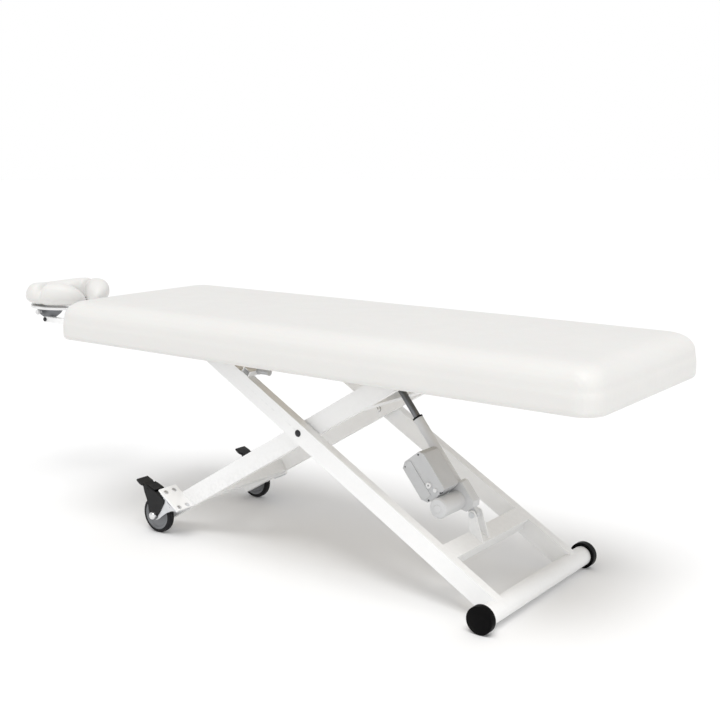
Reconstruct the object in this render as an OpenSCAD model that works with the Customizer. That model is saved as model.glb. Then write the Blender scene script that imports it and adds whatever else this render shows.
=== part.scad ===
// Electric massage and facial treatment couch: one flat padded top on a
// crossed-leg lift, a linear actuator, a foot bar, two braked casters and a
// plug-in face cradle.  Millimetres, Z up, floor at z = 0, origin on the
// floor under the middle of the whole length, cradle included.  +X is the
// foot end, +Y the far side.  Positions along the couch below are measured
// from the middle of the top; placed() then moves them to the origin.

/* [Couch top] */
// length of the padded top
top_length = 1985; // [1900:5:2100]
// width of the padded top
top_width = 700; // [680:5:780]
// height of the padded top's upper face at the modelled lift position
top_height = 770; // [765:1:790]
// radius of the top's four corners seen from above
top_corner_r = 65; // [45:1:90]
// rounding of the top's upper edge
top_edge_r = 36; // [20:1:42]
// depth of the upholstered side
top_side = 128; // [120:1:135]
// thickness of the upholstery cover
cover_t = 3; // [2:0.5:4]

/* [Lift frame] */
// position of the scissor pivot along the couch
pivot_x = -22; // [-26:1:-18]
// height of the scissor pivot
pivot_z = 432.5; // [430:0.5:435]
// position of the foot bar along the couch
bar_x = 666; // [660:1:672]
// outer face of the outer legs, measured from the centre line
outer_face = 237; // [235:1:240]
// depth of the rectangular leg tube
leg_h = 60; // [56:1:62]
// width of the rectangular leg tube
leg_w = 30; // [28:1:30]
// wall of the leg tube
leg_wall = 2; // [1.5:0.5:3]
// gap between an outer and an inner leg
leg_gap = 4; // [3.5:0.5:5]
// angle of the inner legs above the floor
inner_tilt = 31.33; // [30.8:0.01:31.8]

/* [Foot bar and caps] */
// radius of the round foot bar
bar_r = 30; // [28:0.5:32]
// outside radius of the rubber caps that stand on the floor
cap_r = 40; // [38:0.5:42]
// outer face of the caps, measured from the centre line
cap_face = 321; // [318:1:326]
// length of a cap along the bar
cap_length = 25; // [22:1:30]

/* [Casters] */
// radius of the caster tyre
tyre_r = 62.5; // [60:0.5:64]
// position of the caster axle along the couch
wheel_x = -629.5; // [-633:0.5:-626]
// middle plane of a caster, measured from the centre line
wheel_y = 244; // [243:1:247]
// half the tyre's width
tyre_half = 12; // [11:0.5:14]

/* [Actuator] */
// lower pin of the actuator along the couch
act_x = 487; // [484:1:490]
// height of the actuator's lower pin
act_z = 231; // [229:1:233]
// upper eye of the push rod along the couch
eye_x = 196; // [193:1:199]
// height of the push rod's eye
eye_z = 597; // [595:1:599]
// the actuator's middle plane, across the couch
act_y = -45; // [-50:1:-40]

/* [Face cradle] */
// height of the cradle rods
rod_z = 661; // [660:0.5:662]
// distance between the two cradle rods
rod_pitch = 210; // [200:2:220]
// middle of the ring-shaped face cushion along the couch
cushion_x = -1353; // [-1360:1:-1346]
// radius of the cushion's middle line seen from above
cushion_r = 112; // [108:1:116]
// half the opening of the cushion's ring towards the couch, in degrees
cushion_gap = 16; // [12:1:20]
// half the cushion's thickness
cushion_half = 46; // [40:1:46]

/* [Hidden] */
$fn = 72;
// moves the middle of the whole length, cradle included, to the origin
shift_x = -(top_length / 2 + cushion_x - cushion_r - cushion_half) / 2;
outer_tilt = atan2(pivot_z - cap_r, bar_x - pivot_x);
outer_reach = sqrt(pow(bar_x - pivot_x, 2) + pow(pivot_z - cap_r, 2));
outer_in = outer_face - leg_w;
inner_face = outer_in - leg_gap;
inner_in = inner_face - leg_w;
// line from the caster axle through the pivot, extended to the top hinge
wheel_tilt = atan2(pivot_z - tyre_r, pivot_x - wheel_x);
hinge_reach = 352.5;
hinge_x = pivot_x + hinge_reach * cos(wheel_tilt);
hinge_z = pivot_z + hinge_reach * sin(wheel_tilt);
// the guide rollers sit on the outer legs' own centre line
roller_reach = 392.5;
roller_x = pivot_x - roller_reach * cos(outer_tilt);
roller_z = pivot_z + roller_reach * sin(outer_tilt);
outer_head = 420;
inner_head = 372;
pin_r = 8;
run = 0.05;
// clearance of a pin or tube that stays fixed in its hole
fit = 0.02;
bolt_head_r = 7;
// couch top levels
top_under = top_height - top_side;
deck_low = top_under + 35;
deck_t = 15;
foam_low = deck_low + deck_t;
rail_h = 30;
rail_low = deck_low - rail_h;
// actuator
act_tilt = atan2(act_x - eye_x, eye_z - act_z);
act_length = sqrt(pow(act_x - eye_x, 2) + pow(eye_z - act_z, 2));
act_tube_r = 15;
act_tube_top = 326;
motor_off = -20;
motor_up = 60;
nut_low = 216;
nut_t = 24;
rod_r = 10.5;
rod_run = 0.1;
screw_r = 6;
// head end of the couch top
head_x = -top_length / 2;
arm_z = 642;
tilt_x = -1362;
platform_low = 684;
platform_t = 9;
cradle_rod_r = 9.5;
rod_bore = 10.5;
// casters: local frame with its origin on the axle and +Z along the swivel
swivel_tilt = 34;
trail = 33;
fork_rise = 84;
race_r = 28;
kingpin_r = 6;
plate_low = 93;
plate_t = 4;
bracket_low = 100;
bracket_t = 6;
bolt_dx = 36;
bolt_dy = 18;
axle_r = 5;
fork_out = 20.9;
brake_in = 21.2;
brake_out = 24;
rivet_x = -73;
rivet_z = 55;
rivet_r = 4.5;

// ---------- shared shapes ----------

module placed() {
    translate([shift_x, 0, 0]) children();
}

module both_sides() {
    children();
    mirror([0, 1, 0]) children();
}

// frame of the outer legs: +X runs down the legs to the foot bar
module on_outer() {
    translate([pivot_x, 0, pivot_z]) rotate([0, outer_tilt, 0]) children();
}

// frame of the inner legs: +X runs up the legs to the couch top's hinge
module on_inner() {
    translate([pivot_x, 0, pivot_z]) rotate([0, -inner_tilt, 0]) children();
}

// frame of the actuator: +Z runs from the lower pin to the rod eye
module on_actuator() {
    translate([act_x, act_y, act_z]) rotate([0, -act_tilt, 0]) children();
}

// rod along Y between two planes
module bar_y(r, y0, y1) {
    translate([0, y0, 0]) rotate([-90, 0, 0]) cylinder(r = r, h = y1 - y0);
}

// plate in the XZ plane between two Y planes, drawn as [x, z] points
module plate_y(y0, y1) {
    translate([0, y1, 0]) rotate([90, 0, 0])
        linear_extrude(y1 - y0) children();
}

// straight box given by its two corners
module block(x0, x1, y0, y1, z0, z1) {
    translate([x0, y0, z0]) cube([x1 - x0, y1 - y0, z1 - z0]);
}

// rectangular tube along X, open at both ends
module tube_x(x0, x1, y0, y1, z0, z1, wall) {
    difference() {
        block(x0, x1, y0, y1, z0, z1);
        block(x0 - 1, x1 + 1, y0 + wall, y1 - wall, z0 + wall, z1 - wall);
    }
}

// rectangular tube along Y, open at both ends
module tube_y(x0, x1, y0, y1, z0, z1, wall) {
    difference() {
        block(x0, x1, y0, y1, z0, z1);
        block(x0 + wall, x1 - wall, y0 - 1, y1 + 1, z0 + wall, z1 - wall);
    }
}

// rounded rectangle seen from above
module plan(l, w, r) {
    union() {
        square([l - 2 * r, w], center = true);
        square([l, w - 2 * r], center = true);
        for (x = [-1, 1]) for (y = [-1, 1])
            translate([x * (l / 2 - r), y * (w / 2 - r)]) circle(r = r);
    }
}

// slab with rounded corners and a rounded upper edge
module pillow(l, w, h, r, e) {
    union() {
        linear_extrude(h - e) plan(l, w, r);
        linear_extrude(h) plan(l - 2 * e, w - 2 * e, r - e);
        for (y = [-1, 1]) translate([0, y * (w / 2 - e), h - e])
            rotate([0, 90, 0])
                cylinder(r = e, h = l - 2 * r, center = true);
        for (x = [-1, 1]) translate([x * (l / 2 - e), 0, h - e])
            rotate([90, 0, 0])
                cylinder(r = e, h = w - 2 * r, center = true);
        for (x = [-1, 1]) for (y = [-1, 1])
            translate([x * (l / 2 - r), y * (w / 2 - r), h - e])
                rotate_extrude() translate([r - e, 0])
                    intersection() {
                        circle(r = e);
                        translate([-(r - e), -e]) square([r + e, 2 * e]);
                    }
    }
}

// places where the cradle rods pass the head end, along +X
module at_rods() {
    for (y = [-1, 1]) translate([head_x - 5, y * rod_pitch / 2, rod_z])
        rotate([0, 90, 0]) children();
}

// hexagon across its flats
module hexagon(flats) {
    circle(r = flats / sqrt(3), $fn = 6);
}

// ---------- feet ----------

// rubber cap on each end of the foot bar
module foot_caps() {
    edge = 3;
    floor_t = 4.5;
    color("#161616") placed() both_sides()
        translate([bar_x, -cap_face, cap_r]) rotate([-90, 0, 0])
            rotate_extrude() polygon([
                [0, 0], [cap_r - edge, 0], [cap_r - 0.9, 0.9],
                [cap_r, edge], [cap_r, cap_length],
                [bar_r + run, cap_length], [bar_r + run, floor_t],
                [0, floor_t]
            ]);
}

// ---------- outer frame ----------

// pair of outer legs, coped at the bottom to sit on the foot bar
module outer_legs() {
    color("#f2f2f0") placed() both_sides() on_outer() difference() {
        tube_x(-outer_head, outer_reach, -outer_face, -outer_in,
               -leg_h / 2, leg_h / 2, leg_wall);
        translate([outer_reach, 0, 0])
            bar_y(bar_r + 2 * run, -outer_face - 1, -outer_in + 1);
        bar_y(pin_r + fit, -outer_face - 1, -outer_in + 1);
        translate([-roller_reach, 0, 0])
            bar_y(pin_r - 2 + fit, -outer_face - 1, -outer_in + 1);
    }
}

// round tube that carries the caps and the foot end of the outer legs
module foot_bar() {
    bar_wall = 2.5;
    end_y = cap_face - 5;
    color("#f2f2f0") placed() translate([bar_x, 0, cap_r]) difference() {
        bar_y(bar_r, -end_y, end_y);
        bar_y(bar_r - bar_wall, -end_y - 1, end_y + 1);
    }
}

// cross tube low between the outer legs, under the actuator
module outer_lower_tube() {
    rear = outer_reach - 232;
    front = outer_reach - 177;
    color("#f2f2f0") placed() on_outer()
        tube_y(rear, front, -outer_in, outer_in,
               -12, leg_h / 2, leg_wall);
}

// cross tube laid over the outer legs near their head end
module outer_upper_tube() {
    color("#f2f2f0") placed() on_outer()
        tube_y(-276, -246, -outer_face, outer_face,
               leg_h / 2, leg_h / 2 + 20, leg_wall);
}

// folded bracket with two ears that hold the actuator's lower pin
module actuator_bracket() {
    foot = leg_h / 2;
    pin_s = outer_reach - (bar_x - act_x) * cos(outer_tilt)
        - (act_z - cap_r) * sin(outer_tilt);
    pin_n = (act_z - cap_r) * cos(outer_tilt)
        - (bar_x - act_x) * sin(outer_tilt);
    rear = outer_reach - 230;
    front = outer_reach - 178;
    ear_t = 4;
    ear_gap = 16;
    ear_r = 13;
    color("#eeeeec") placed() on_outer() translate([0, act_y, 0]) difference() {
        union() {
            block(rear, front, -ear_gap, ear_gap, foot, foot + ear_t);
            for (y = [-1, 1]) plate_y(y < 0 ? -ear_gap - ear_t : ear_gap,
                                      y < 0 ? -ear_gap : ear_gap + ear_t) {
                polygon([
                    [rear, foot], [front, foot],
                    [pin_s + 9, pin_n + 10], [pin_s - 9, pin_n + 9.5],
                    [pin_s - 12.4, pin_n - 4]
                ]);
                translate([pin_s, pin_n]) circle(r = ear_r);
            }
        }
        translate([pin_s, 0, pin_n])
            bar_y(pin_r - 2 + fit, -ear_gap - ear_t - 1, ear_gap + ear_t + 1);
    }
}

// headed pin through the bracket's ears and the actuator's foot
module actuator_pin() {
    color("#b9bcc0") placed() translate([act_x, act_y, act_z]) union() {
        bar_y(pin_r - 2, -20, 24);
        bar_y(pin_r + 1, -24, -20);
    }
}

// scissor pivot bolts with their lock nuts, one pair on each side
module pivot_bolts() {
    nut_y = inner_in - 9;
    color("#2b2b2d") placed() both_sides() translate([pivot_x, 0, pivot_z]) {
        union() {
            bar_y(pin_r, -outer_face, -nut_y + 3);
            rotate([90, 0, 0]) translate([0, 0, outer_face + fit])
                rotate_extrude() polygon([
                    [0, 0], [bolt_head_r + 4, 0], [bolt_head_r + 3.4, 1.6],
                    [bolt_head_r, 3.6], [0, 4.2]
                ]);
        }
        rotate([90, 0, 0]) translate([0, 0, nut_y]) difference() {
            linear_extrude(7) hexagon(24);
            translate([0, 0, -1]) cylinder(r = pin_r + run, h = 9);
        }
    }
}

// stub axles of the guide rollers, fixed in the outer legs
module roller_axles() {
    axle_end = outer_in - 36;
    color("#b9bcc0") placed() both_sides()
        translate([roller_x, 0, roller_z]) union() {
            bar_y(pin_r - 2, -outer_face, -axle_end);
            bar_y(pin_r + 1, -outer_face - 3, -outer_face);
        }
}

// hand control socket at the upper cross tube: collar, barrel and cap
module control_socket() {
    collar_t = 4;
    barrel_l = 38;
    bore_at = 12;
    color("#d6d8da") placed() translate([-210.5, -198, 596])
        rotate([0, 90, 0]) {
            cylinder(r = 11.5, h = collar_t);
            translate([0, 0, collar_t]) difference() {
                cylinder(r = 9.5, h = barrel_l);
                translate([0, 0, bore_at]) cylinder(r = 6, h = barrel_l);
            }
            translate([0, 0, collar_t + barrel_l - 13]) union() {
                cylinder(r = 6 - fit, h = 13);
                translate([0, 0, 13]) cylinder(r = 11, h = 3);
            }
        }
}

// ---------- inner frame ----------

// pair of inner legs
module inner_legs() {
    hinge_u = hinge_reach * cos(wheel_tilt - inner_tilt);
    hinge_v = hinge_reach * sin(wheel_tilt - inner_tilt);
    color("#f2f2f0") placed() both_sides() on_inner() difference() {
        tube_x(-716, inner_head, -inner_face, -inner_in,
               -leg_h / 2, leg_h / 2, leg_wall);
        bar_y(pin_r + 4 + fit, -inner_face - 1, -inner_in + 1);
        translate([hinge_u, 0, hinge_v])
            bar_y(pin_r + run, -inner_face - 1, -inner_in + 1);
    }
}

// cross tube between the inner legs above the casters
module inner_lower_tube() {
    color("#f2f2f0") placed() on_inner()
        tube_y(-540, -485, -inner_in, inner_in,
               -leg_h / 2, -leg_h / 2 + 40, leg_wall);
}

// cross tube between the inner legs that takes the push rod's force
module inner_upper_tube() {
    color("#f2f2f0") placed() on_inner()
        tube_y(204, 248, -inner_in, inner_in,
               -leg_h / 2, 15, leg_wall);
}

// two ears on that tube for the push rod's pin
module rod_bracket() {
    eye_u = (eye_x - pivot_x) * cos(inner_tilt)
        + (eye_z - pivot_z) * sin(inner_tilt);
    eye_v = (eye_z - pivot_z) * cos(inner_tilt)
        - (eye_x - pivot_x) * sin(inner_tilt);
    ear_gap = 12;
    ear_t = 5;
    color("#eeeeec") placed() on_inner() translate([0, act_y, 0]) difference() {
        for (y = [-1, 1]) plate_y(y < 0 ? -ear_gap - ear_t : ear_gap,
                                  y < 0 ? -ear_gap : ear_gap + ear_t) {
            polygon([
                [215, 15], [248, 15], [248, -12], [258, -12],
                [eye_u + 12, eye_v - 6], [eye_u + 6, eye_v + 12],
                [eye_u - 8, eye_v + 12]
            ]);
            translate([eye_u, eye_v]) circle(r = 14);
        }
        translate([eye_u, 0, eye_v])
            bar_y(pin_r - 2 + fit, -ear_gap - ear_t - 1, ear_gap + ear_t + 1);
    }
}

// pin in the rod bracket
module rod_pin() {
    color("#b9bcc0") placed() translate([eye_x, act_y, eye_z]) union() {
        bar_y(pin_r - 2, -17, 21);
        bar_y(pin_r + 1, -21, -17);
    }
}

// flanged bushes pressed in the inner legs, running on the pivot bolts
module pivot_bushes() {
    color("#3a3a3c") placed() both_sides()
        translate([pivot_x, 0, pivot_z]) difference() {
            union() {
                bar_y(pin_r + 4, -inner_face, -inner_in);
                bar_y(pin_r + 9, -outer_in + 0.2, -inner_face);
            }
            bar_y(pin_r + run, -outer_in, -inner_in + 1);
        }
}

module on_caster() {
    translate([wheel_x, -wheel_y, tyre_r]) rotate([0, swivel_tilt, 0])
        children();
}

// bolt places of a caster plate, seen along its swivel
module at_bolts() {
    for (x = [-1, 1]) for (y = [-1, 1])
        translate([trail + x * bolt_dx, y * bolt_dy, 0]) children();
}

// angle bracket welded to each inner leg, with the caster bolted below it
module caster_brackets() {
    near = -35;
    leg_side = wheel_y - inner_face - fit;
    bracket_top = bracket_low + bracket_t;
    color("#eeeeec") placed() both_sides() on_caster() difference() {
        union() {
            block(trail - 55, trail + 47, near, leg_side,
                  bracket_low, bracket_top);
            plate_y(leg_side - 5, leg_side) polygon([
                [trail - 18, bracket_low + 1], [trail + 44, bracket_low + 1],
                [trail + 30, bracket_low - 36], [trail - 6, bracket_low - 36]
            ]);
        }
        at_bolts() translate([0, 0, bracket_low - 1])
            cylinder(r = 4, h = bracket_t + 2);
    }
}

// caster top plate with the upper race and kingpin of the swivel
module caster_plates() {
    color("#c3c6c9") placed() both_sides() on_caster() difference() {
        union() {
            block(trail - 46, trail + 46, -30, 30,
                  plate_low, plate_low + plate_t);
            translate([trail, 0, plate_low - 4]) rotate_extrude() polygon([
                [0, 0], [race_r - 2, 0], [race_r, 1.5], [race_r, 4.5], [0, 4.5]
            ]);
            translate([trail, 0, fork_rise - 8])
                cylinder(r = kingpin_r, h = plate_low - fork_rise + 8);
            translate([trail, 0, fork_rise - 10])
                cylinder(r = kingpin_r + 5, h = 5);
        }
        at_bolts() translate([0, 0, plate_low - 1])
            cylinder(r = 4, h = plate_t + 2);
    }
}

// bolts with collars and nuts that hold the caster plates to the brackets
module caster_bolts() {
    nut_t = 6.5;
    bracket_top = bracket_low + bracket_t;
    color("#d4d6d8") placed() both_sides() on_caster() at_bolts() union() {
        translate([0, 0, plate_low - nut_t - 1.5])
            cylinder(r = 4, h = bracket_top - plate_low + nut_t + 2);
        translate([0, 0, plate_low - nut_t])
            linear_extrude(nut_t) hexagon(13);
        translate([0, 0, plate_low + plate_t])
            cylinder(r = 8, h = bracket_low - plate_low - plate_t);
        translate([0, 0, bracket_top]) rotate_extrude() polygon([
            [0, 0], [8.5, 0], [7.5, 1.6], [4, 2.6], [0, 2.6]
        ]);
    }
}

// ---------- couch top ----------

// long rails under the deck
module side_rails() {
    color("#8d9092") placed() both_sides()
        tube_x(-900, 900, -302, -262, rail_low, deck_low, 2);
}

// cross rails between the long rails
module cross_rails() {
    color("#8d9092") placed() for (x = [-780, -560, 312, 860])
        tube_y(x, x + 40, -262, 262, rail_low, deck_low, 2);
}

// plates with welded studs that hang the inner legs' top hinges
module hinge_brackets() {
    plate_out = inner_in - 1;
    color("#8d9092") placed() both_sides() union() {
        plate_y(-plate_out, -plate_out + 5) {
            polygon([
                [hinge_x - 16, hinge_z], [hinge_x + 16, hinge_z],
                [hinge_x + 26, deck_low], [hinge_x - 40, deck_low]
            ]);
            translate([hinge_x, hinge_z]) circle(r = 16);
        }
        block(hinge_x - 40, hinge_x + 26, -plate_out, -plate_out + 40,
              deck_low - 5, deck_low);
        translate([hinge_x, 0, hinge_z]) {
            bar_y(pin_r, -inner_face - 2, -plate_out + 1);
            bar_y(pin_r + 3, -plate_out + 4, -plate_out + 8);
        }
    }
}

// C-shaped tracks in which the guide rollers run
module roller_tracks() {
    half = 15.6;
    t = 4;
    web = outer_in - 42;
    color("#8d9092") placed() both_sides()
        translate([roller_x - 92, 0, 0]) rotate([90, 0, 90])
            linear_extrude(143) polygon([
                [-(web + 36), roller_z - half - t],
                [-(web + 36), roller_z - half],
                [-(web + t), roller_z - half],
                [-(web + t), roller_z + half],
                [-(web + 36), roller_z + half],
                [-(web + 36), roller_z + half + t],
                [-(web + t), roller_z + half + t],
                [-(web + t), deck_low],
                [-(web - 30), deck_low],
                [-(web - 30), deck_low - t],
                [-web, deck_low - t],
                [-web, roller_z - half - t]
            ]);
}

// plywood deck with its glued skirt, open below, bored for the cradle rods
module wooden_tray() {
    skirt_t = 16;
    l = top_length - 2 * cover_t - 1;
    w = top_width - 2 * cover_t - 1;
    r = top_corner_r - cover_t;
    low = top_under + cover_t;
    color("#c79f6b") placed() difference() {
        translate([0, 0, low]) linear_extrude(foam_low - low) plan(l, w, r);
        translate([0, 0, low - 1]) linear_extrude(deck_low - low + 1)
            plan(l - 2 * skirt_t, w - 2 * skirt_t, r - skirt_t);
        at_rods() cylinder(r = rod_bore, h = 40);
    }
}

// foam of the pad
module foam_core() {
    gap = cover_t + 0.5;
    color("#e8dca0") placed() translate([0, 0, foam_low])
        pillow(top_length - 2 * gap, top_width - 2 * gap,
               top_height - cover_t - 0.5 - foam_low,
               top_corner_r - gap, top_edge_r - gap);
}

// stretched cover, turned in under the skirt
module upholstery() {
    hem = 22;
    color("#f6f4ee") placed() difference() {
        translate([0, 0, top_under])
            pillow(top_length, top_width, top_side,
                   top_corner_r, top_edge_r);
        translate([0, 0, top_under + cover_t])
            pillow(top_length - 2 * cover_t, top_width - 2 * cover_t,
                   top_side - 2 * cover_t,
                   top_corner_r - cover_t, top_edge_r - cover_t);
        translate([0, 0, top_under - 1]) linear_extrude(cover_t + 2)
            plan(top_length - 2 * hem, top_width - 2 * hem,
                 top_corner_r - hem);
        at_rods() cylinder(r = rod_bore, h = 40);
    }
}

// tubes with saddles under the deck that take the cradle rods
module cradle_sockets() {
    out_r = 13;
    socket_l = 180;
    start = head_x + cover_t + 17.5;
    color("#9ea1a4") placed() for (y = [-1, 1])
        translate([start, y * rod_pitch / 2, rod_z]) difference() {
            union() {
                rotate([0, 90, 0]) cylinder(r = out_r, h = socket_l);
                block(0, socket_l, -9, 9, 0, deck_low - rod_z);
            }
            translate([-1, 0, 0]) rotate([0, 90, 0])
                cylinder(r = cradle_rod_r + 0.1, h = socket_l + 2);
        }
}

// ---------- guide rollers ----------

module guide_roller() {
    color("#f4f4f4") placed() translate([roller_x, 0, roller_z]) difference() {
        rotate([90, 0, 0]) translate([0, 0, outer_in - 35]) rotate_extrude()
            polygon([
                [pin_r - 2 + run, 0], [13.6, 0], [15, 1.4], [15, 28.6],
                [13.6, 30], [pin_r - 2 + run, 30]
            ]);
    }
}

module roller_near() { guide_roller(); }

module roller_far() { mirror([0, 1, 0]) guide_roller(); }

// ---------- actuator ----------

// outer tube of the actuator
module actuator_tube() {
    color("#e3e4e5") placed() on_actuator() difference() {
        translate([0, 0, 104]) cylinder(r = act_tube_r, h = act_tube_top - 104);
        translate([0, 0, 103]) cylinder(r = 13, h = act_tube_top - 102);
    }
}

// gear housing with the foot that takes the lower pin
module gear_housing() {
    half = 18;
    color("#e3e4e5") placed() on_actuator() difference() {
        union() {
            plate_y(-half, half) polygon([
                [-30, 38], [-30, 96], [-22, 104], [19, 104], [27, 96],
                [27, 30], [16, 17], [-12, 17]
            ]);
            plate_y(-9, 9) {
                polygon([[-12, 18], [-12, 0], [12, 0], [12, 18]]);
                circle(r = 12);
            }
        }
        bar_y(pin_r - 2 + run, -10, 10);
        translate([0, 0, 42]) cylinder(r = 15, h = 46);
        translate([0, 0, 87]) cylinder(r = screw_r + rod_run, h = 18);
        translate([motor_off, 0, motor_up]) bar_y(6.6, -half - 1, 14);
    }
}

// motor across the gear housing, with its domed end cap
module motor_housing() {
    color("#e9eaea") placed() on_actuator() translate([motor_off, 0, motor_up])
        rotate([90, 0, 0]) difference() {
            union() {
                translate([0, 0, 18]) cylinder(r = 29, h = 88);
                translate([0, 0, 106]) rotate_extrude() polygon([
                    [0, 0], [30, 0], [30, 9], [27, 14], [13, 15.5],
                    [11, 18], [0, 18.5]
                ]);
            }
            translate([0, 0, 24]) cylinder(r = 24, h = 82);
            translate([0, 0, 17]) cylinder(r = 5.1, h = 8);
        }
}

// armature and shaft inside the motor
module motor_armature() {
    color("#b87333") placed() on_actuator() translate([motor_off, 0, motor_up])
        rotate([90, 0, 0]) union() {
            translate([0, 0, -12]) cylinder(r = 5, h = 114);
            translate([0, 0, -9]) cylinder(r = 5.5, h = 18);
            translate([0, 0, 34]) cylinder(r = 21, h = 44);
            translate([0, 0, 84]) cylinder(r = 13, h = 10);
        }
}

// control box strapped beside the actuator tube
module control_box() {
    near = 103;
    deep = 22;
    color("#dfe1e3") placed() on_actuator() difference() {
        union() {
            plate_y(-near + 14, -deep) polygon([
                [22, 98], [22, 216], [9, 229], [-51, 229], [-69, 217],
                [-69, 112], [-55, 93], [-20, 91]
            ]);
            for (z = [120, 196]) translate([-10, -22, z])
                cube([20, 22 - act_tube_r + 1.5, 12]);
        }
        plate_y(-near + 13, -deep - 3) polygon([
            [19, 101], [19, 214.5], [8, 226], [-50, 226], [-66, 215.5],
            [-66, 113], [-53.5, 96], [-20, 94]
        ]);
        translate([0, 0, 90]) cylinder(r = act_tube_r + fit, h = 150);
    }
}

// lid of the control box on its near face
module control_box_lid() {
    near = 103;
    color("#e6e8e9") placed() on_actuator() difference() {
        union() {
            plate_y(-near + 3, -near + 14) polygon([
                [22, 98], [22, 216], [9, 229], [-51, 229], [-69, 217],
                [-69, 112], [-55, 93], [-20, 91]
            ]);
            plate_y(-near, -near + 3) polygon([
                [-30, 106], [-30, 222], [-50, 224], [-64, 214],
                [-64, 114], [-54, 104]
            ]);
        }
        plate_y(-near + 6, -near + 15) polygon([
            [19, 101], [19, 214.5], [8, 226], [-50, 226], [-66, 215.5],
            [-66, 113], [-53.5, 96], [-20, 94]
        ]);
        for (p = [[-57, 216], [4, 222], [-47, 97], [2, 95]])
            translate([p[0], 0, p[1]]) bar_y(2.6, -near - 1, -near + 15);
        translate([-18, 0, 132]) bar_y(9, -near + 2, -near + 15);
    }
}

// four lid screws
module box_screws() {
    near = 103;
    color("#1c1c1c") placed() on_actuator()
        for (p = [[-57, 216], [4, 222], [-47, 97], [2, 95]])
            translate([p[0], 0, p[1]]) bar_y(2.6, -near + 1.8, -near + 12);
}

// plugs of the motor lead and the hand control lead
module lead_plugs() {
    near = 103;
    color("#f3f3f3") placed() on_actuator() {
        translate([-18, 0, 132]) difference() {
            bar_y(8.9, -near - 3, -near + 12);
            bar_y(3, -near - 4, -near + 4);
        }
        translate([-8, 0, 110]) bar_y(6, -near - 2, -near + 3);
    }
}

// wiper seal at the mouth of the actuator tube
module tube_seal() {
    color("#161616") placed() on_actuator() translate([0, 0, act_tube_top])
        difference() {
            cylinder(r = act_tube_r + 1, h = 5);
            translate([0, 0, -1]) cylinder(r = rod_r + rod_run, h = 7);
        }
}

// lead screw with its worm wheel
module lead_screw() {
    color("#a9acaf") placed() on_actuator() union() {
        translate([0, 0, 46]) cylinder(r = screw_r, h = 266);
        translate([0, 0, motor_up - 8]) cylinder(r = 14, h = 16);
    }
}

// hollow push rod
module push_rod() {
    foot = nut_low + nut_t;
    color("#55585c") placed() on_actuator() difference() {
        translate([0, 0, foot]) cylinder(r = rod_r, h = act_length - 22 - foot);
        translate([0, 0, foot - 1]) cylinder(r = screw_r + 1, h = 190);
    }
}

// nut on the foot of the push rod
module spindle_nut() {
    color("#d8c27a") placed() on_actuator() translate([0, 0, nut_low]) difference() {
        cylinder(r = 12.6, h = nut_t);
        translate([0, 0, -1]) cylinder(r = screw_r + rod_run, h = nut_t + 2);
    }
}

// ring eye on the head of the push rod
module rod_eye() {
    color("#55585c") placed() on_actuator() difference() {
        union() {
            translate([0, 0, act_length]) bar_y(22, -9, 9);
            translate([0, 0, act_length - 22]) cylinder(r = 10, h = 6);
        }
        translate([0, 0, act_length]) bar_y(16.6, -10, 10);
    }
}

// ---------- face cradle ----------

// two rods that slide into the sockets
module cradle_rods() {
    color("#b9bcc0") placed() for (y = [-1, 1])
        translate([head_x - 60, y * rod_pitch / 2, rod_z])
            rotate([0, 90, 0]) cylinder(r = cradle_rod_r, h = 190);
}

// crossbar with the hinge ears of the platform
module cradle_crossbar() {
    bar_low = arm_z - 11;
    color("#efefec") placed() difference() {
        block(head_x - 80, head_x - 50, -rod_pitch / 2 - 18,
              rod_pitch / 2 + 18, bar_low, rod_z + 16);
        for (y = [-1, 1]) translate([head_x - 60, y * rod_pitch / 2, rod_z])
            rotate([0, 90, 0]) cylinder(r = cradle_rod_r, h = 30);
    }
}

// two arms that reach from the crossbar to the platform's hinge
module cradle_arms() {
    color("#efefec") placed() for (y = [-1, 1]) difference() {
        union() {
            block(tilt_x, head_x - 80, y * 96 - 9, y * 96 + 9,
                  arm_z - 10, arm_z + 10);
            translate([tilt_x, 0, arm_z]) bar_y(10, y * 96 - 9, y * 96 + 9);
        }
        translate([tilt_x, 0, arm_z]) bar_y(5, y * 96 - 10, y * 96 + 10);
    }
}

// bolts of the platform's tilt hinge
module tilt_bolts() {
    color("#2b2b2d") placed() both_sides() translate([tilt_x, 0, arm_z]) union() {
        bar_y(5, -105, -75);
        bar_y(8, -108.5, -105);
    }
}

// ring platform, open towards the couch, that carries the cushion
module cradle_platform() {
    out_r = cushion_r + 26;
    in_r = cushion_r - 34;
    opening = 60;
    color("#dadada") placed() translate([cushion_x, 0, platform_low])
        linear_extrude(platform_t) difference() {
            circle(r = out_r);
            circle(r = in_r);
            translate([0, -opening]) square([out_r + 10, 2 * opening]);
        }
}

// two curved cheeks under the platform that turn on the tilt bolts
module cradle_cheeks() {
    top = platform_low;
    color("#4a4c4f") placed() both_sides() difference() {
        plate_y(-84, -78) {
            polygon([
                [tilt_x - 80, top], [tilt_x + 76, top],
                [tilt_x + 60, top - 16], [tilt_x + 11, arm_z - 4],
                [tilt_x - 11, arm_z - 5], [tilt_x - 60, arm_z + 14]
            ]);
            translate([tilt_x, arm_z]) circle(r = 12);
        }
        translate([tilt_x, 0, arm_z]) bar_y(5 + run, -85, -77);
        translate([tilt_x - 48, 0, arm_z + 22]) bar_y(4 + run, -85, -77);
    }
}

// face cushion: a stuffed ring with its opening towards the couch
module cradle_cushion() {
    rise = platform_low + platform_t + 1 + cushion_half;
    color("#f6f4ee") placed() translate([cushion_x, 0, rise]) rotate([0, 0, cushion_gap])
        rotate_extrude(angle = 360 - 2 * cushion_gap)
            translate([cushion_r, 0]) circle(r = cushion_half);
}

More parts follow.
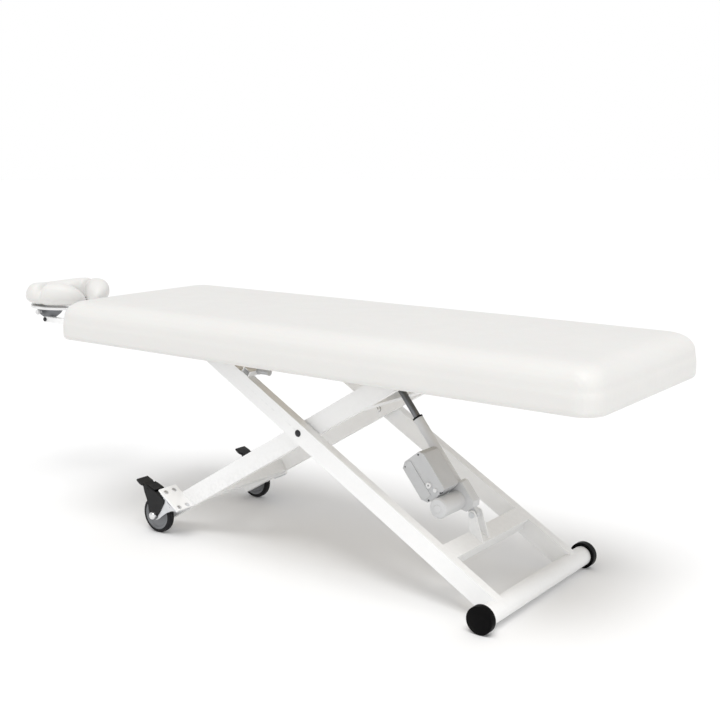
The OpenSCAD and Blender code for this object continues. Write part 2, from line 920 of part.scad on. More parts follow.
// cam lever with its knob, across the cheeks
module cradle_lever() {
    color("#e9e9e9") placed() translate([tilt_x - 48, 0, arm_z + 22]) union() {
        bar_y(4, -95, 90);
        bar_y(9, -104, -95);
        translate([-6, 0, 0]) bar_y(6, -100, -95);
    }
}

// ---------- casters ----------

// pressed steel fork of a caster with the lower race of its swivel
module caster_fork() {
    in_y = fork_out - 2.5;
    race_t = 4;
    color("#c3c6c9") placed() on_caster() difference() {
        union() {
            for (y = [-1, 1])
                plate_y(y < 0 ? -fork_out : in_y, y < 0 ? -in_y : fork_out) {
                    polygon([
                        [-12, 4], [-8, -9], [0, -13], [9, -11], [17, -6],
                        [23, 6], [28, 22], [37, 46], [50, 68], [66, fork_rise],
                        [0, fork_rise], [-4, 60]
                    ]);
                    circle(r = 13);
                }
            block(0, 66, -fork_out, fork_out, fork_rise - 3.5, fork_rise);
            translate([trail, 0, fork_rise]) rotate_extrude() polygon([
                [0, 0], [race_r - 5, 0], [race_r, 2.5], [race_r, race_t],
                [0, race_t]
            ]);
        }
        bar_y(axle_r, -30, 30);
        translate([trail, 0, fork_rise - 5])
            cylinder(r = kingpin_r + run, h = race_t + 6);
    }
}

// axle bolt with its domed cap outside and its nut inside
module caster_axle() {
    cap_r = 13;
    color("#dfe1e3") placed() on_caster() union() {
        bar_y(axle_r, -30, 30);
        rotate([90, 0, 0]) translate([0, 0, brake_out]) rotate_extrude()
            polygon([
                [0, 0], [cap_r, 0], [cap_r, 8], [cap_r - 1.6, 11.4],
                [cap_r - 5, 13.6], [0, 14.4]
            ]);
        rotate([-90, 0, 0]) translate([0, 0, brake_out])
            linear_extrude(5) hexagon(17);
    }
}

// grey wheel centre with its black tyre fitted round it
module caster_wheel() {
    rim_r = 51;
    tread_w = 2 * tyre_half;
    placed() on_caster() {
        color("#8b8e91") rotate([90, 0, 0]) translate([0, 0, -18])
            rotate_extrude() polygon([
                [axle_r + run, 0], [14, 0], [15, 7], [42, 12], [46, 7.5],
                [rim_r, 7.5], [rim_r, 28.5], [46, 28.5], [42, 24], [15, 29],
                [14, 36], [axle_r + run, 36]
            ]);
        color("#26272a") rotate([90, 0, 0])
            translate([0, 0, -tyre_half]) rotate_extrude() polygon([
                [rim_r + run, 0], [tyre_r - 5, 0], [tyre_r - 1.5, 2],
                [tyre_r, 6], [tyre_r, tread_w - 6],
                [tyre_r - 1.5, tread_w - 2], [tyre_r - 5, tread_w],
                [rim_r + run, tread_w]
            ]);
    }
}

// black brake frame: two cheeks outside the fork, a cover and a rivet
module caster_brake_frame() {
    color("#161616") placed() on_caster() difference() {
        union() {
            for (y = [-1, 1])
                plate_y(y < 0 ? -brake_out : brake_in,
                        y < 0 ? -brake_in : brake_out) {
                    polygon([
                        [-20, -8], [-51, 21], [-79, 39], [-92, 51], [-88, 63],
                        [-64, 68], [-44, 73], [-20, 77], [7, 79], [12, 70],
                        [14, 30], [12, -5]
                    ]);
                    circle(r = 14);
                }
            block(-38, -14, -brake_out, brake_out, 68, 75);
            translate([rivet_x, 0, rivet_z])
                bar_y(rivet_r, -brake_out - 1.4, brake_out + 1.4);
        }
        bar_y(axle_r, -30, 30);
    }
}

// black foot pedal that turns on the rivet and carries the brake shoe
module caster_brake_pedal() {
    in_y = brake_in - 0.3;
    color("#1b1b1c") placed() on_caster() difference() {
        union() {
            plate_y(-in_y, in_y) polygon([
                [-99, 47], [-99, 57.5], [-84, 60], [-78, 69], [-45, 77],
                [-45, 70], [-64, 62], [-54, 36], [-57, 31], [-64, 38],
                [-80, 46]
            ]);
            plate_y(-brake_out, brake_out) polygon([
                [-127, 45], [-127, 51], [-98, 57.5], [-98, 47],
                [-110, 44]
            ]);
        }
        translate([rivet_x, 0, rivet_z])
            bar_y(rivet_r + run, -brake_out - 1, brake_out + 1);
    }
}

module fork_near() { caster_fork(); }

module fork_far() { mirror([0, 1, 0]) caster_fork(); }

module axle_near() { caster_axle(); }

module axle_far() { mirror([0, 1, 0]) caster_axle(); }

module wheel_near() { caster_wheel(); }

module wheel_far() { mirror([0, 1, 0]) caster_wheel(); }

module brake_frame_near() { caster_brake_frame(); }

module brake_frame_far() { mirror([0, 1, 0]) caster_brake_frame(); }

module brake_pedal_near() { caster_brake_pedal(); }

module brake_pedal_far() { mirror([0, 1, 0]) caster_brake_pedal(); }

foot_caps();
outer_legs();
foot_bar();
outer_lower_tube();
outer_upper_tube();
actuator_bracket();
actuator_pin();
pivot_bolts();
roller_axles();
control_socket();
inner_legs();
inner_lower_tube();
inner_upper_tube();
rod_bracket();
rod_pin();
pivot_bushes();
caster_brackets();
caster_plates();
caster_bolts();
side_rails();
cross_rails();
hinge_brackets();
roller_tracks();
wooden_tray();
foam_core();
upholstery();
cradle_sockets();
roller_near();
roller_far();
actuator_tube();
gear_housing();
motor_housing();
control_box();
control_box_lid();
box_screws();
lead_plugs();
tube_seal();
lead_screw();
motor_armature();
push_rod();
spindle_nut();
rod_eye();
cradle_rods();
cradle_crossbar();
cradle_arms();
tilt_bolts();
cradle_platform();
cradle_cheeks();
cradle_cushion();
cradle_lever();
fork_near();
fork_far();
axle_near();
axle_far();
wheel_near();
wheel_far();
brake_frame_near();
brake_frame_far();
brake_pedal_near();
brake_pedal_far();
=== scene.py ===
"""Looks of the motor driven treatment couch: soft pad, face cushion, painted lift frame, casters and actuator."""

import math

import bmesh
import bpy
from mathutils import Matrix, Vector, noise


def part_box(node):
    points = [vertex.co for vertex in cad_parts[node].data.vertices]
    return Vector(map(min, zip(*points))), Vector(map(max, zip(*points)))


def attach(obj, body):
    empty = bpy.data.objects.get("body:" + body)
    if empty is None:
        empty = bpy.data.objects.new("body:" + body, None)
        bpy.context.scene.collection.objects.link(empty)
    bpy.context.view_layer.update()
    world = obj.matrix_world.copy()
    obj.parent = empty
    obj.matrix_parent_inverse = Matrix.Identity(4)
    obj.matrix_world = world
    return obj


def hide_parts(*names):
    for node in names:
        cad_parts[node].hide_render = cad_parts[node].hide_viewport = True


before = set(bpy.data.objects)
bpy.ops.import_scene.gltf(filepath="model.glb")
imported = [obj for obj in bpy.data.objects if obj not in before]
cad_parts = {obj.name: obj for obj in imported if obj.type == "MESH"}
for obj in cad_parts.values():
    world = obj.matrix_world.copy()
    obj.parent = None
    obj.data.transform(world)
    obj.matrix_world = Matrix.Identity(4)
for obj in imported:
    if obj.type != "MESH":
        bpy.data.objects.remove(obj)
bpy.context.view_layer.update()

MM = 0.001


# ---------- places taken from the frame ----------

pad_low, pad_high = (Vector(corner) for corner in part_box("upholstery"))
pad_middle = (pad_low + pad_high) / 2
foam_low, foam_high = (Vector(corner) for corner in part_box("foam_core"))
tray_low, tray_high = (Vector(corner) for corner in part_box("wooden_tray"))
cushion_low, cushion_high = (Vector(corner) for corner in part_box("cradle_cushion"))
platform_low, platform_high = (Vector(corner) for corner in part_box("cradle_platform"))


# ---------- materials ----------

class Nodes:
    """A material's node tree with short calls for the nodes used here."""

    def __init__(self, name):
        self.material = bpy.data.materials.new(name)
        self.material.use_nodes = True
        self.tree = self.material.node_tree
        self.shader = self.tree.nodes["Principled BSDF"]
        self.place = self.add("ShaderNodeTexCoord").outputs["Object"]

    def add(self, kind, **values):
        node = self.tree.nodes.new(kind)
        for key, value in values.items():
            setattr(node, key, value)
        return node

    def link(self, source, target):
        self.tree.links.new(source, target)

    def stretched(self, scale):
        mapping = self.add("ShaderNodeMapping")
        mapping.inputs["Scale"].default_value = scale
        self.link(self.place, mapping.inputs["Vector"])
        return mapping.outputs["Vector"]

    def cloud(self, per_metre, detail=3.0, vector=None):
        node = self.add("ShaderNodeTexNoise")
        node.inputs["Scale"].default_value = per_metre
        node.inputs["Detail"].default_value = detail
        self.link(vector or self.place, node.inputs["Vector"])
        return node.outputs["Fac"]

    def cells(self, per_metre, feature="F1"):
        node = self.add("ShaderNodeTexVoronoi", feature=feature)
        node.inputs["Scale"].default_value = per_metre
        self.link(self.place, node.inputs["Vector"])
        return node.outputs["Distance"]

    def remap(self, value, low, high, to_low, to_high):
        node = self.add("ShaderNodeMapRange")
        for key, number in zip(("From Min", "From Max", "To Min", "To Max"), (low, high, to_low, to_high)):
            node.inputs[key].default_value = number
        self.link(value, node.inputs["Value"])
        return node.outputs["Result"]

    def maths(self, operation, first, second):
        node = self.add("ShaderNodeMath", operation=operation)
        for socket, value in zip(node.inputs, (first, second)):
            if isinstance(value, (int, float)):
                socket.default_value = value
            else:
                self.link(value, socket)
        return node.outputs["Value"]

    def mix(self, factor, first, second):
        node = self.add("ShaderNodeMix", data_type="RGBA")
        self.link(factor, node.inputs["Factor"])
        for socket, value in zip((node.inputs[6], node.inputs[7]), (first, second)):
            if isinstance(value, tuple):
                socket.default_value = (*value, 1.0)
            else:
                self.link(value, socket)
        return node.outputs[2]

    def edges(self, low=0.52, high=0.62):
        pointiness = self.add("ShaderNodeNewGeometry").outputs["Pointiness"]
        broken = self.remap(self.cloud(90.0, 4.0), 0.42, 0.62, 0.0, 1.0)
        return self.maths("MULTIPLY", self.remap(pointiness, low, high, 0.0, 1.0), broken)

    def bump(self, *layers):
        """Each layer is (height socket, depth in metres)."""
        normal = None
        for height, depth in layers:
            node = self.add("ShaderNodeBump")
            node.inputs["Strength"].default_value = 1.0
            node.inputs["Distance"].default_value = depth
            self.link(height, node.inputs["Height"])
            if normal is not None:
                self.link(normal, node.inputs["Normal"])
            normal = node.outputs["Normal"]
        self.link(normal, self.shader.inputs["Normal"])

    def finish(self, colour, roughness, **inputs):
        self.link(colour, self.shader.inputs["Base Color"])
        self.link(roughness, self.shader.inputs["Roughness"])
        for key, value in inputs.items():
            self.shader.inputs[key.replace("_", " ")].default_value = value
        return self.material


def shade(colour, factor):
    return tuple(min(1.0, channel * factor) for channel in colour)


def powder_coat(name, colour, roughness=0.42):
    """Satin powder coat with its fine orange peel, faint clouding and edges rubbed a little darker."""
    n = Nodes(name)
    cloudy = n.mix(n.cloud(9.0), shade(colour, 0.965), shade(colour, 1.02))
    worn = n.mix(n.maths("MULTIPLY", n.edges(), 0.35), cloudy, shade(colour, 0.72))
    rough = n.remap(n.cloud(35.0), 0.3, 0.7, roughness - 0.06, roughness + 0.07)
    n.bump((n.cloud(520.0, 2.0), 0.10 * MM), (n.cloud(1800.0, 1.0), 0.03 * MM))
    return n.finish(worn, rough, Coat_Weight=0.12, Coat_Roughness=0.25)


def vinyl_leather(name, colour):
    """Soft artificial leather: fine pebble grain, faint creasing, a slight sheen and uneven gloss."""
    n = Nodes(name)
    mottled = n.mix(n.cloud(5.0, 4.0), shade(colour, 0.975), shade(colour, 1.015))
    speckled = n.mix(n.remap(n.cells(620.0), 0.0, 0.7, 0.0, 0.10), mottled, shade(colour, 0.90))
    rough = n.remap(n.cloud(16.0, 5.0), 0.3, 0.7, 0.40, 0.54)
    pebbles = n.cells(620.0)
    creases = n.cloud(42.0, 6.0, n.stretched((1.0, 1.6, 1.0)))
    n.bump((creases, 0.45 * MM), (pebbles, 0.16 * MM), (n.cloud(2400.0, 2.0), 0.04 * MM))
    return n.finish(speckled, rough, Sheen_Weight=0.10, Sheen_Roughness=0.45,
                    Specular_IOR_Level=0.42, Subsurface_Weight=0.04, Subsurface_Scale=4.0 * MM)


def plated_steel(name, colour, roughness=0.34, grain=(1.0, 1.0, 1.0)):
    """Zinc plated or drawn steel with cloudy plating, hairlines and brighter rubbed edges."""
    n = Nodes(name)
    patchy = n.mix(n.cloud(38.0, 5.0), shade(colour, 0.80), shade(colour, 1.10))
    rubbed = n.mix(n.edges(), patchy, shade(colour, 1.25))
    rough = n.remap(n.cloud(60.0, 5.0), 0.3, 0.7, roughness - 0.10, roughness + 0.12)
    hairs = n.cloud(700.0, 2.0, n.stretched(grain))
    n.bump((hairs, 0.05 * MM), (n.cloud(90.0, 3.0), 0.06 * MM))
    return n.finish(rubbed, rough, Metallic=1.0)


def moulded(name, colour, roughness=0.5, texture=0.08, wear=0.25, specular=0.5):
    """Moulded plastic or rubber with a spark-eroded texture, slight shade changes and scuffed edges."""
    n = Nodes(name)
    varied = n.mix(n.cloud(22.0, 4.0), shade(colour, 0.93), shade(colour, 1.05))
    lighter = tuple(channel + (0.55 - channel) * 0.35 for channel in colour)
    scuffed = n.mix(n.maths("MULTIPLY", n.edges(), wear), varied, lighter)
    rough = n.remap(n.cloud(75.0, 4.0), 0.3, 0.7, roughness - 0.08, roughness + 0.10)
    n.bump((n.cells(1500.0), texture * MM), (n.cloud(260.0, 3.0), 0.05 * MM))
    return n.finish(scuffed, rough, Specular_IOR_Level=specular)


def plywood(name):
    """Bare plywood with long grain and darker pores."""
    n = Nodes(name)
    long_grain = n.cloud(14.0, 6.0, n.stretched((0.25, 4.0, 4.0)))
    pores = n.cloud(160.0, 3.0, n.stretched((0.08, 3.0, 3.0)))
    body = n.mix(n.remap(long_grain, 0.3, 0.7, 0.0, 1.0), (0.66, 0.56, 0.42), (0.76, 0.68, 0.55))
    flecked = n.mix(n.remap(pores, 0.55, 0.75, 0.0, 0.6), body, (0.44, 0.35, 0.25))
    n.bump((pores, 0.25 * MM), (long_grain, 0.3 * MM))
    return n.finish(flecked, n.remap(long_grain, 0.3, 0.7, 0.62, 0.8))


def open_foam(name):
    """Open cell foam, pale yellow, with small pits that are darkened with painted shade."""
    n = Nodes(name)
    pits = n.cells(900.0)
    tone = n.mix(n.cloud(12.0, 4.0), (0.80, 0.72, 0.42), (0.90, 0.84, 0.58))
    n.bump((pits, 0.6 * MM))
    # painted shade: the colour is mixed towards dark brown in the pits, deepest at their middles
    return n.finish(n.mix(n.remap(pits, 0.0, 0.5, 0.25, 0.0), tone, (0.5, 0.42, 0.2)), n.remap(pits, 0.0, 0.6, 0.95, 0.85))


def wound_copper(name):
    """Lacquered copper winding with fine turns."""
    n = Nodes(name)
    turns = n.add("ShaderNodeTexWave", bands_direction="X")
    turns.inputs["Scale"].default_value = 320.0
    n.link(n.place, turns.inputs["Vector"])
    tone = n.mix(n.cloud(120.0, 3.0), (0.55, 0.25, 0.10), (0.80, 0.42, 0.20))
    n.bump((turns.outputs["Fac"], 0.3 * MM))
    return n.finish(tone, n.remap(n.cloud(80.0), 0.3, 0.7, 0.25, 0.42), Metallic=1.0)


FRAME_WHITE = (0.93, 0.93, 0.925)
WARM_WHITE = (0.745, 0.735, 0.715)

white_coat = powder_coat("frame_white_coat", FRAME_WHITE)
grey_coat = powder_coat("rail_grey_coat", (0.30, 0.31, 0.32), 0.5)
leather = vinyl_leather("white_vinyl_leather", WARM_WHITE)
zinc = plated_steel("zinc_plated_steel", (0.74, 0.75, 0.77))
cap_chrome = plated_steel("bright_cap_steel", (0.84, 0.84, 0.85), 0.24)
dark_rod = plated_steel("dark_drawn_steel", (0.20, 0.205, 0.215), 0.40, (1.0, 1.0, 0.05))
black_oxide = plated_steel("black_oxide_steel", (0.060, 0.060, 0.064), 0.42)
bronze = plated_steel("cast_bronze", (0.60, 0.48, 0.24), 0.42)
rubber = moulded("black_rubber", (0.002, 0.002, 0.0022), 0.45, 0.06, 0.01, 0.07)
tyre_rubber = moulded("tyre_rubber", (0.014, 0.014, 0.015), 0.66, 0.16, 0.05, 0.2)
rim_plastic = moulded("rim_plastic", (0.19, 0.195, 0.205), 0.42, 0.05, 0.2)
black_plastic = moulded("black_plastic", (0.008, 0.008, 0.0085), 0.42, 0.06, 0.06, 0.25)
pale_plastic = moulded("pale_grey_plastic", (0.60, 0.605, 0.61), 0.48, 0.07, 0.15)
motor_paint = moulded("motor_housing_paint", (0.68, 0.685, 0.69), 0.36, 0.05, 0.15)
white_plastic = moulded("white_plastic", (0.82, 0.82, 0.82), 0.34, 0.04, 0.10)
socket_plastic = moulded("socket_grey_plastic", (0.55, 0.56, 0.57), 0.45, 0.05, 0.15)
ply = plywood("bare_plywood")
foam = open_foam("cell_foam")
copper = wound_copper("wound_copper")


# ---------- finishes of the CAD nodes ----------

def softened(node, width, angle=32.0):
    """Rounds a node's edges a little with modifiers; its own mesh stays as it is."""
    mesh = node.data
    mesh.polygons.foreach_set("use_smooth", [True] * len(mesh.polygons))
    imported = mesh.attributes.get("custom_normal")
    if imported is not None:
        mesh.attributes.remove(imported)
    weld = node.modifiers.new("weld", "WELD")
    weld.merge_threshold = 0.004 * MM
    merged = node.modifiers.new("merged", "DECIMATE")
    merged.decimate_type = "DISSOLVE"
    merged.angle_limit = math.radians(0.5)
    bevel = node.modifiers.new("edge", "BEVEL")
    bevel.width = width
    bevel.segments = 3
    bevel.limit_method = "ANGLE"
    bevel.angle_limit = math.radians(angle)
    bevel.harden_normals = True


def dress(material, width, *names):
    for name in names:
        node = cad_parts[name]
        node.data.materials.clear()
        node.data.materials.append(material)
        softened(node, width)


dress(white_coat, 0.8 * MM, "outer_legs", "inner_legs", "outer_lower_tube", "outer_upper_tube",
      "inner_lower_tube", "inner_upper_tube")
dress(white_coat, 0.8 * MM, "foot_bar", "actuator_bracket", "rod_bracket", "caster_brackets")
dress(white_coat, 1.2 * MM, "cradle_crossbar", "cradle_arms")
dress(grey_coat, 0.8 * MM, "side_rails", "cross_rails", "hinge_brackets", "roller_tracks", "cradle_sockets")
dress(rubber, 1.0 * MM, "foot_caps", "tube_seal")
dress(black_oxide, 0.4 * MM, "box_screws", "tilt_bolts")
dress(zinc, 0.4 * MM, "actuator_pin", "roller_axles", "rod_pin", "caster_plates", "caster_bolts",
      "lead_screw", "cradle_rods", "fork_near", "fork_far")
dress(cap_chrome, 0.5 * MM, "axle_near", "axle_far")
dress(black_plastic, 0.8 * MM, "pivot_bushes", "brake_frame_near", "brake_frame_far",
      "brake_pedal_near", "brake_pedal_far")
dress(pale_plastic, 1.0 * MM, "control_box", "control_box_lid")
dress(motor_paint, 1.2 * MM, "gear_housing", "motor_housing", "actuator_tube")
dress(socket_plastic, 0.6 * MM, "control_socket")
dress(white_plastic, 0.6 * MM, "lead_plugs", "roller_near", "roller_far", "cradle_lever")
dress(dark_rod, 0.6 * MM, "push_rod", "rod_eye", "cradle_cheeks")
dress(bronze, 0.4 * MM, "spindle_nut")
dress(copper, 0.4 * MM, "motor_armature")
dress(ply, 0.8 * MM, "wooden_tray")
dress(white_plastic, 1.5 * MM, "cradle_platform")


def two_tone(name, first, second, is_second):
    """Gives the faces of a node whose middle passes a test the second material and the rest the first."""
    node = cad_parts[name]
    node.data.materials.clear()
    for material in (first, second):
        node.data.materials.append(material)
    for face in node.data.polygons:
        middle = sum((node.data.vertices[i].co for i in face.vertices), Vector()) / len(face.vertices)
        face.material_index = int(is_second(middle))
    softened(node, 0.5 * MM)


RIM_SHARE = 0.817
for side in ("near", "far"):
    wheel_low, wheel_high = (Vector(corner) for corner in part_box("wheel_" + side))
    hub = (wheel_low + wheel_high) / 2
    rim_r = (wheel_high.z - wheel_low.z) / 2 * RIM_SHARE
    two_tone("wheel_" + side, rim_plastic, tyre_rubber,
             lambda middle: math.hypot(middle.x - hub.x, middle.z - hub.z) > rim_r)

# the pivot nuts inside the inner legs are painted over with the frame
legs_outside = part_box("inner_legs")[1][1]
two_tone("pivot_bolts", black_oxide, white_coat, lambda middle: abs(middle.y) < legs_outside)


# ---------- mesh helpers ----------

def new_piece(name, mesh, material):
    piece = bpy.data.objects.new(name, mesh)
    bpy.context.scene.collection.objects.link(piece)
    mesh.materials.clear()
    mesh.materials.append(material)
    mesh.polygons.foreach_set("use_smooth", [True] * len(mesh.polygons))
    return piece


def rings_to_mesh(name, rings, close_ends=True):
    """Mesh from closed rings with the same number of points each."""
    count = len(rings[0])
    points = [point for ring in rings for point in ring]
    faces = []
    for i in range(len(rings) - 1):
        for j in range(count):
            k = (j + 1) % count
            faces.append((i * count + j, i * count + k, (i + 1) * count + k, (i + 1) * count + j))
    if close_ends:
        faces.append(tuple(reversed(range(count))))
        faces.append(tuple(range((len(rings) - 1) * count, len(rings) * count)))
    mesh = bpy.data.meshes.new(name)
    mesh.from_pydata(points, [], faces)
    mesh.update()
    return mesh


def plan_outline(half_x, half_y, radius, per_corner=14):
    """Points of a rounded rectangle seen from above, anticlockwise."""
    points = []
    for quarter, (sx, sy) in enumerate(((1, 1), (-1, 1), (-1, -1), (1, -1))):
        for step in range(per_corner + 1):
            angle = math.radians(90.0 * (quarter + step / per_corner))
            points.append((sx * (half_x - radius) + radius * math.cos(angle),
                           sy * (half_y - radius) + radius * math.sin(angle)))
    return points


def apply_modifiers(piece):
    depsgraph = bpy.context.evaluated_depsgraph_get()
    mesh = bpy.data.meshes.new_from_object(piece.evaluated_get(depsgraph))
    piece.modifiers.clear()
    old = piece.data
    piece.data = mesh
    bpy.data.meshes.remove(old)


def inflated(mesh, name, voxel, pressure, cap, pinned=None, frames=20, stiffness=12.0):
    """Cloth simulation of a padded cover: remesh, swell under pressure, limit how far a point moves."""
    work = new_piece(name, mesh, leather)
    remesh = work.modifiers.new("remesh", "REMESH")
    remesh.mode = "VOXEL"
    remesh.voxel_size = voxel
    apply_modifiers(work)
    before = [vertex.co.copy() for vertex in work.data.vertices]
    cloth = work.modifiers.new("cloth", "CLOTH")
    settings = cloth.settings
    settings.quality = 4
    settings.mass = 0.3
    settings.tension_stiffness = stiffness
    settings.compression_stiffness = stiffness
    settings.shear_stiffness = stiffness * 0.6
    settings.bending_stiffness = 2.0
    settings.use_pressure = True
    settings.uniform_pressure_force = pressure
    settings.effector_weights.gravity = 0.0
    cloth.collision_settings.use_collision = False
    if pinned is not None:
        group = work.vertex_groups.new(name="held")
        group.add([v.index for v in work.data.vertices if pinned(v.co)], 1.0, "REPLACE")
        settings.vertex_group_mass = "held"
    cloth.point_cache.frame_start = 1
    cloth.point_cache.frame_end = frames
    scene = bpy.context.scene
    for step in range(1, frames + 1):
        scene.frame_set(step)
    apply_modifiers(work)
    for vertex, start in zip(work.data.vertices, before):
        move = vertex.co - start
        if move.length > cap:
            vertex.co = start + move * (cap / move.length)
    scene.frame_set(1)
    return work


# ---------- pad ----------

COVER_T = 2.0 * MM
EDGE_IN = 62.0 * MM
EDGE_DOWN = 54.0 * MM
CORNER_R = 65.0 * MM
FOLD_R = 6.0 * MM
HEM = 22.0 * MM


def corner_at(inset):
    """Corner radius of an outline inside the pad's: the corners are pulled down more than the sides."""
    return max(CORNER_R - 0.45 * inset, 8.0 * MM)


def slab_rings(low, high, fold_r, slack, crown):
    """Rings of a padded slab: folded lower edge, upright side that starts a little slack, rolled upper edge."""
    centre = (low + high) / 2
    half = (high - low) / 2
    rings = []

    def ring(inset, z):
        rings.append([(centre.x + x, centre.y + y, z)
                      for x, y in plan_outline(half.x - inset, half.y - inset, corner_at(inset))])

    for step in range(5):
        angle = math.radians(90.0 * step / 4)
        ring(fold_r * (1 - math.sin(angle)), low.z + fold_r * (1 - math.cos(angle)))
    board_top = low.z + 50.0 * MM
    ring(0.0, board_top)
    ring(slack, board_top + 14.0 * MM)
    for step in range(9):
        angle = math.radians(90.0 * step / 8)
        ring(slack + EDGE_IN * (1 - math.cos(angle)), high.z - slack - EDGE_DOWN * (1 - math.sin(angle)))
    ring(EDGE_IN + 60.0 * MM, high.z - slack + 0.5 * crown)
    ring(EDGE_IN + 150.0 * MM, high.z - slack + 0.9 * crown)
    ring(EDGE_IN + 260.0 * MM, high.z - slack + crown)
    return rings


def hollowed(piece, low, hem, thickness):
    """Opens the underside inside the hem and gives the cover its thickness."""
    mesh = bmesh.new()
    mesh.from_mesh(piece.data)
    half_x = (pad_high.x - pad_low.x) / 2 - hem
    half_y = (pad_high.y - pad_low.y) / 2 - hem
    under = [face for face in mesh.faces
             if face.normal.z < -0.6 and face.calc_center_median().z < low + 12.0 * MM
             and abs(face.calc_center_median().x - pad_middle.x) < half_x
             and abs(face.calc_center_median().y - pad_middle.y) < half_y]
    bmesh.ops.delete(mesh, geom=under, context="FACES")
    mesh.to_mesh(piece.data)
    mesh.free()
    smooth = piece.modifiers.new("smooth", "SUBSURF")
    smooth.levels = 1
    smooth.render_levels = 1
    shell = piece.modifiers.new("shell", "SOLIDIFY")
    shell.thickness = thickness
    shell.offset = -1.0
    apply_modifiers(piece)


def uneven(piece, amount, per_metre, above):
    """Soft unevenness of the stuffing under the cover, as real height."""
    vertices = piece.data.vertices
    outward = [vertex.normal.copy() for vertex in vertices]
    for vertex, normal in zip(vertices, outward):
        if vertex.co.z > above:
            lift = noise.fractal(vertex.co * per_metre, 1.0, 2.0, 3)
            vertex.co += normal * (lift * amount)


def build_pad():
    proud = Vector((1.0, 1.0, 2.5)) * MM
    inner_low = pad_low - proud
    inner_high = pad_high + Vector((proud.x, proud.y, 0.0))
    rings = slab_rings(inner_low, inner_high, FOLD_R, 3.5 * MM, 3.0 * MM)
    mesh = rings_to_mesh("pad_cover", rings)
    board_top = pad_low.z + 48.0 * MM
    cover = inflated(mesh, "pad_cover", 8.0 * MM, 0.3, 5.0 * MM, lambda co: co.z < board_top, frames=9)
    uneven(cover, 0.6 * MM, 3.2, board_top)
    hollowed(cover, pad_low.z, HEM, COVER_T)
    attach(cover, "couch_top")
    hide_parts("upholstery")
    cover_room = 5.0 * MM
    foam_half = (foam_high - foam_low) / 2
    rings = []

    def foam_ring(inset, z):
        outline = plan_outline(foam_half.x - cover_room - inset, foam_half.y - cover_room - inset,
                               corner_at(cover_room + inset))
        rings.append([(pad_middle.x + x, y, z) for x, y in outline])

    foam_ring(0.0, foam_low.z)
    for step in range(9):
        angle = math.radians(90.0 * step / 8)
        foam_ring(EDGE_IN * (1 - math.cos(angle)), foam_high.z - cover_room - EDGE_DOWN * (1 - math.sin(angle)))
    block = new_piece("pad_foam", rings_to_mesh("pad_foam", rings), foam)
    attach(block, "couch_top")
    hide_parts("foam_core")


# ---------- face cushion ----------

# bearings on the ring in degrees, seen from above; 0 points at the couch
GATHERS = (-88.0, 88.0)
TIP = 7.0
TIP_TAPER = 30.0
TOP_TAPER = 52.0


def rounded(share):
    """Section size near a lobe's tip, which ends in a quarter of an ellipse."""
    return math.sqrt(max(0.02, 1.0 - (1.0 - min(share, 1.0)) ** 2))


def build_cushion():
    """Ring cushion whose tips meet at the couch: a front lobe and two side lobes, gathered where they join."""
    half = (cushion_high.z - cushion_low.z) / 2
    line_r = (cushion_high.y - cushion_low.y) / 2 - half
    centre = Vector((cushion_low.x + half + line_r, 0.0, (cushion_low.z + cushion_high.z) / 2))
    shelf_r = (platform_high.y - platform_low.y) / 2 + 2.0 * MM
    shelf_z = platform_high.z + 0.6 * MM
    steps = 96
    around = 28
    full_wide = 0.93 * half
    full_tall = 0.92 * half
    rings = []
    for i in range(steps + 1):
        bearing = TIP + (360.0 - 2 * TIP) * i / steps
        signed = bearing if bearing <= 180.0 else bearing - 360.0
        outward = Vector((math.cos(math.radians(bearing)), math.sin(math.radians(bearing)), 0.0))
        from_tip = abs(signed) - TIP
        pinch = sum(math.exp(-((signed - gather) / 7.0) ** 2) for gather in GATHERS)
        front = math.exp(-((abs(signed) - 180.0) / 62.0) ** 2)
        wide = full_wide * rounded(from_tip / TIP_TAPER) * (1 - 0.34 * pinch)
        tall = full_tall * rounded(from_tip / TOP_TAPER) * (1 - 0.40 * pinch - 0.20 * front)
        drop = 0.85 * (full_tall - tall)
        spot = centre + outward * line_r
        ring = []
        for j in range(around):
            angle = 2 * math.pi * j / around
            c, d = math.cos(angle), math.sin(angle)
            droop = 0.40 * half * front * max(c, 0.0) ** 2
            height = tall * math.copysign(abs(d) ** 0.9, d) - drop - droop
            ring.append(spot + outward * (wide * math.copysign(abs(c) ** 0.9, c)) + Vector((0, 0, height)))
        rings.append(ring)

    def rest_on_shelf(vertices):
        for vertex in vertices:
            if math.hypot(vertex.co.x - centre.x, vertex.co.y) < shelf_r:
                vertex.co.z = max(vertex.co.z, shelf_z)

    mesh = rings_to_mesh("face_cushion", rings)
    rest_on_shelf(mesh.vertices)
    held_below = shelf_z + 2.0 * MM
    cushion = inflated(mesh, "face_cushion", 4.0 * MM, 1.5, 4.0 * MM, lambda co: co.z < held_below, frames=10)
    rest_on_shelf(cushion.data.vertices)
    smooth = cushion.modifiers.new("smooth", "SUBSURF")
    smooth.levels = 1
    smooth.render_levels = 1
    apply_modifiers(cushion)
    cushion.data.polygons.foreach_set("use_smooth", [True] * len(cushion.data.polygons))
    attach(cushion, "cradle_head")
    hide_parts("cradle_cushion")


build_pad()
build_cushion()


# ---------- floor, light and camera ----------

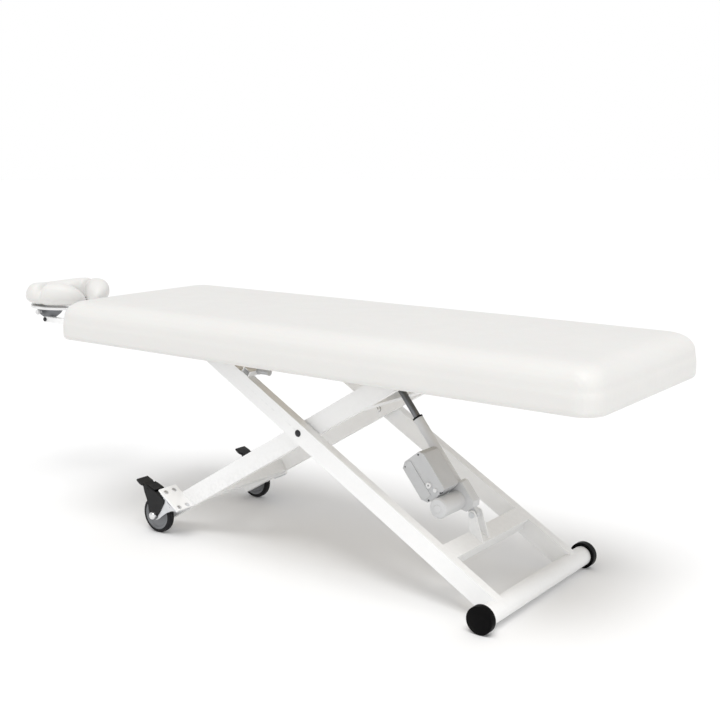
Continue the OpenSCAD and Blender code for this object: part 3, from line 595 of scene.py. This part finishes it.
def build_floor():
    rings = [[(r * math.cos(a * math.pi / 32), r * math.sin(a * math.pi / 32), 0.0) for a in range(64)]
             for r in (40.0, 4.0, 0.0001)]
    mesh = rings_to_mesh("floor", rings, close_ends=False)
    n = Nodes("pale_floor")
    tone = n.mix(n.cloud(1.2, 3.0), (0.90, 0.90, 0.90), (0.93, 0.93, 0.93))
    new_piece("floor", mesh, n.finish(tone, n.remap(n.cloud(6.0), 0.3, 0.7, 0.75, 0.85)))


def area_light(name, place, aim, size, power):
    light = bpy.data.lights.new(name, "AREA")
    light.shape = "DISK"
    light.size = size
    light.energy = power
    lamp = bpy.data.objects.new(name, light)
    lamp.location = place
    lamp.rotation_euler = (Vector(aim) - Vector(place)).to_track_quat("-Z", "Y").to_euler()
    bpy.context.scene.collection.objects.link(lamp)


def build_light():
    """Even studio light: a pale surround that the camera sees as white, a broad soft sun and two fills."""
    world = bpy.data.worlds.new("studio")
    world.use_nodes = True
    tree = world.node_tree
    seen = tree.nodes.new("ShaderNodeLightPath").outputs["Is Camera Ray"]
    strength = tree.nodes.new("ShaderNodeMapRange")
    strength.inputs["To Min"].default_value = 0.72
    strength.inputs["To Max"].default_value = 1.0
    tree.links.new(seen, strength.inputs["Value"])
    background = tree.nodes["Background"]
    background.inputs["Color"].default_value = (1.0, 1.0, 1.0, 1.0)
    tree.links.new(strength.outputs["Result"], background.inputs["Strength"])
    bpy.context.scene.world = world
    sun = bpy.data.lights.new("sun", "SUN")
    sun.energy = 1.5
    sun.angle = math.radians(35.0)
    lamp = bpy.data.objects.new("sun", sun)
    lamp.rotation_euler = Vector((-0.20, 0.30, -0.93)).to_track_quat("-Z", "Y").to_euler()
    bpy.context.scene.collection.objects.link(lamp)
    aim = (pad_middle.x, 0.0, 0.5)
    area_light("foot_fill", (pad_middle.x + 4.0, -1.4, 1.6), aim, 2.5, 12.0)
    area_light("low_fill", (pad_middle.x - 0.6, -4.2, 0.9), aim, 3.0, 10.0)


def build_camera():
    camera = bpy.data.objects.new("camera", bpy.data.cameras.new("camera"))
    camera.location = (pad_middle.x + 2.1177, -2.7920, 1.2833)
    camera.rotation_euler = (math.radians(90.0 - 10.66), 0.0, math.radians(36.73))
    camera.data.lens = 56.99
    camera.data.sensor_width = 36.0
    bpy.context.scene.collection.objects.link(camera)
    bpy.context.scene.camera = camera


build_floor()
build_light()
build_camera()
bpy.context.scene.view_settings.view_transform = "Standard"
